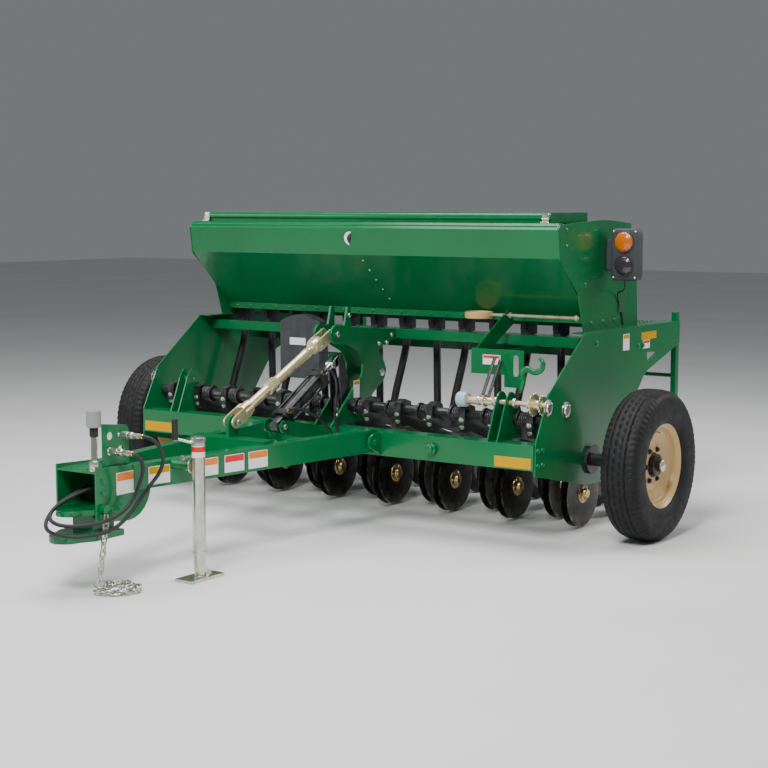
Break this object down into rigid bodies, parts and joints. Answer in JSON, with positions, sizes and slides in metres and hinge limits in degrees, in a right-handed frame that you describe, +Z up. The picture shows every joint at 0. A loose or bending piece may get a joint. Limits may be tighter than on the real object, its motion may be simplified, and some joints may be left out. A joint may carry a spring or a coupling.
{
  "type": "seed drill",
  "caption": "Towed end-wheel grain drill: long seed hopper with lid, disc openers on a lifting rockshaft, hinged A-frame tongue with clevis and swivel jack.",
  "frame": {"origin": "centre of the machine's footprint, on the ground", "axes": "+Z up, -Y forward towards the hitch, X across the machine"},
  "size_m": [3.328, 3.5408, 1.595],
  "materials": {
    "green_paint": "semi-gloss enamel",
    "black_paint": "satin enamel",
    "grey_plastic": "moulded",
    "tyre": "ribbed rubber",
    "cream_paint": "semi-gloss enamel",
    "zinc": "zinc plated",
    "cream_zinc": "yellow-passivated zinc",
    "chrome": "hard chrome",
    "hose_rubber": "braided hose cover",
    "black_rubber": "corrugated rubber",
    "disc_steel": "black-oiled steel",
    "pale_plastic": "moulded",
    "jack_paint": "satin enamel"
  },
  "bodies": {
    "frame": {"front_tube": "green_paint", "rear_tube": "green_paint", "mid_tube": "green_paint", "walkboard": "green_paint", "mast": "green_paint", "drive_bracket": "green_paint", "hopper_trough": "green_paint", "control_rod": "zinc", "gear_cover": "grey_plastic", "seed_tubes": "black_rubber", "end_plate_right": "green_paint", "spindle_right": "black_paint", "hopper_end_right": "green_paint", "lamp_right": "grey_plastic", "ladder_right": "green_paint", "end_plate_left": "green_paint", "spindle_left": "black_paint", "hopper_end_left": "green_paint", "lamp_left": "grey_plastic", "ladder_left": "green_paint", "cylinder_hose_base": "hose_rubber", "cylinder_hose_head": "hose_rubber"},
    "wheel_right": {"tyre_right": "tyre", "rim_right": "cream_paint"},
    "wheel_left": {"tyre_left": "tyre", "rim_left": "cream_paint"},
    "lid": {"hopper_lid": "green_paint"},
    "openers": {"opener_gang": "black_paint"},
    "drive_shaft": {"drive_shaft": "zinc"},
    "discs_01": {"discs_01": "disc_steel"},
    "discs_02": {"discs_02": "disc_steel"},
    "discs_03": {"discs_03": "disc_steel"},
    "discs_04": {"discs_04": "disc_steel"},
    "discs_05": {"discs_05": "disc_steel"},
    "discs_06": {"discs_06": "disc_steel"},
    "discs_07": {"discs_07": "disc_steel"},
    "discs_08": {"discs_08": "disc_steel"},
    "discs_09": {"discs_09": "disc_steel"},
    "discs_10": {"discs_10": "disc_steel"},
    "discs_11": {"discs_11": "disc_steel"},
    "discs_12": {"discs_12": "disc_steel"},
    "discs_13": {"discs_13": "disc_steel"},
    "tongue": {"tongue": "green_paint", "hitch_clevis": "green_paint", "hose_rack": "green_paint", "cap_post": "pale_plastic", "hitch_hose_outer": "hose_rubber", "hitch_hose_inner": "hose_rubber", "coupler_outer": "zinc", "coupler_inner": "zinc", "chain_drop": "zinc", "chain_pile": "zinc"},
    "turnbuckle_tube": {"turnbuckle_tube": "cream_zinc"},
    "turnbuckle_rod": {"turnbuckle_rod": "cream_zinc"},
    "lift_cylinder": {"lift_cylinder": "black_paint"},
    "cylinder_rod": {"cylinder_rod": "chrome"},
    "jack_tube": {"jack_tube": "jack_paint", "jack_crank": "black_rubber"},
    "jack_leg": {"jack_leg": "jack_paint"}
  },
  "joints": [
    {"name": "wheel_right_spin", "type": "hinge", "parent": "frame", "child": "wheel_right", "pos_m": [1.564, 0.7035, 0.372], "axis": [1, 0, 0], "continuous": true},
    {"name": "wheel_left_spin", "type": "hinge", "parent": "frame", "child": "wheel_left", "pos_m": [-1.564, 0.7035, 0.372], "axis": [1, 0, 0], "continuous": true},
    {"name": "opener_lift", "type": "hinge", "parent": "frame", "child": "openers", "pos_m": [0, 0.3035, 0.6], "axis": [1, 0, 0], "range_deg": [0, 20], "deforming": ["seed_tubes", "cylinder_hose_base", "cylinder_hose_head"]},
    {"name": "discs_01_spin", "type": "hinge", "parent": "openers", "child": "discs_01", "pos_m": [1.143, 0.7835, 0.1775], "axis": [1, 0, 0], "continuous": true},
    {"name": "discs_02_spin", "type": "hinge", "parent": "openers", "child": "discs_02", "pos_m": [0.9525, 0.9435, 0.1775], "axis": [1, 0, 0], "continuous": true},
    {"name": "discs_03_spin", "type": "hinge", "parent": "openers", "child": "discs_03", "pos_m": [0.762, 0.7835, 0.1775], "axis": [1, 0, 0], "continuous": true},
    {"name": "discs_04_spin", "type": "hinge", "parent": "openers", "child": "discs_04", "pos_m": [0.5715, 0.9435, 0.1775], "axis": [1, 0, 0], "continuous": true},
    {"name": "discs_05_spin", "type": "hinge", "parent": "openers", "child": "discs_05", "pos_m": [0.381, 0.7835, 0.1775], "axis": [1, 0, 0], "continuous": true},
    {"name": "discs_06_spin", "type": "hinge", "parent": "openers", "child": "discs_06", "pos_m": [0.1905, 0.9435, 0.1775], "axis": [1, 0, 0], "continuous": true},
    {"name": "discs_07_spin", "type": "hinge", "parent": "openers", "child": "discs_07", "pos_m": [0, 0.7835, 0.1775], "axis": [1, 0, 0], "continuous": true},
    {"name": "discs_08_spin", "type": "hinge", "parent": "openers", "child": "discs_08", "pos_m": [-0.1905, 0.9435, 0.1775], "axis": [1, 0, 0], "continuous": true},
    {"name": "discs_09_spin", "type": "hinge", "parent": "openers", "child": "discs_09", "pos_m": [-0.381, 0.7835, 0.1775], "axis": [1, 0, 0], "continuous": true},
    {"name": "discs_10_spin", "type": "hinge", "parent": "openers", "child": "discs_10", "pos_m": [-0.5715, 0.9435, 0.1775], "axis": [1, 0, 0], "continuous": true},
    {"name": "discs_11_spin", "type": "hinge", "parent": "openers", "child": "discs_11", "pos_m": [-0.762, 0.7835, 0.1775], "axis": [1, 0, 0], "continuous": true},
    {"name": "discs_12_spin", "type": "hinge", "parent": "openers", "child": "discs_12", "pos_m": [-0.9525, 0.9435, 0.1775], "axis": [1, 0, 0], "continuous": true},
    {"name": "discs_13_spin", "type": "hinge", "parent": "openers", "child": "discs_13", "pos_m": [-1.143, 0.7835, 0.1775], "axis": [1, 0, 0], "continuous": true},
    {"name": "drive_shaft_spin", "type": "hinge", "parent": "frame", "child": "drive_shaft", "pos_m": [0.9, 0.2535, 0.685], "axis": [1, 0, 0], "continuous": true},
    {"name": "lid_open", "type": "hinge", "parent": "frame", "child": "lid", "pos_m": [0, 0.9115, 1.555], "axis": [-1, 0, 0], "range_deg": [0, 100]},
    {"name": "tongue_pitch", "type": "hinge", "parent": "frame", "child": "tongue", "pos_m": [0, 0.0635, 0.462], "axis": [1, 0, 0], "range_deg": [-4, 4]},
    {"name": "cylinder_tilt", "type": "hinge", "parent": "frame", "child": "lift_cylinder", "pos_m": [0, -0.2495, 0.549], "axis": [1, 0, 0], "range_deg": [-0.01, 3]},
    {"name": "cylinder_stroke", "type": "slide", "parent": "lift_cylinder", "child": "cylinder_rod", "axis": [0, 0.8656, 0.5008], "range_m": [-0.1, 0.001]},
    {"name": "turnbuckle_tilt", "type": "hinge", "parent": "tongue", "child": "turnbuckle_tube", "pos_m": [0, -0.5865, 0.606], "axis": [1, 0, 0], "range_deg": [-8, 8]},
    {"name": "turnbuckle_length", "type": "slide", "parent": "turnbuckle_tube", "child": "turnbuckle_rod", "axis": [0, 0.9018, 0.4322], "range_m": [-0.04, 0.04]},
    {"name": "jack_swivel", "type": "hinge", "parent": "tongue", "child": "jack_tube", "pos_m": [0.3, -1.1765, 0.5], "axis": [1, 0, 0], "range_deg": [0, 90]},
    {"name": "jack_height", "type": "slide", "parent": "jack_tube", "child": "jack_leg", "axis": [0, 0, 1], "range_m": [-0.25, 0.085]}
  ],
  "couplings": [
    {"joint": "cylinder_tilt", "follows": "opener_lift", "ratio": 0.08715},
    {"joint": "cylinder_stroke", "follows": "opener_lift", "m_per_rad": -0.23952},
    {"joint": "turnbuckle_tilt", "follows": "tongue_pitch", "ratio": -0.38627},
    {"joint": "turnbuckle_length", "follows": "tongue_pitch", "m_per_rad": 0.4107},
    {"joint": "drive_shaft_spin", "follows": "wheel_right_spin", "ratio": 1.5}
  ]
}
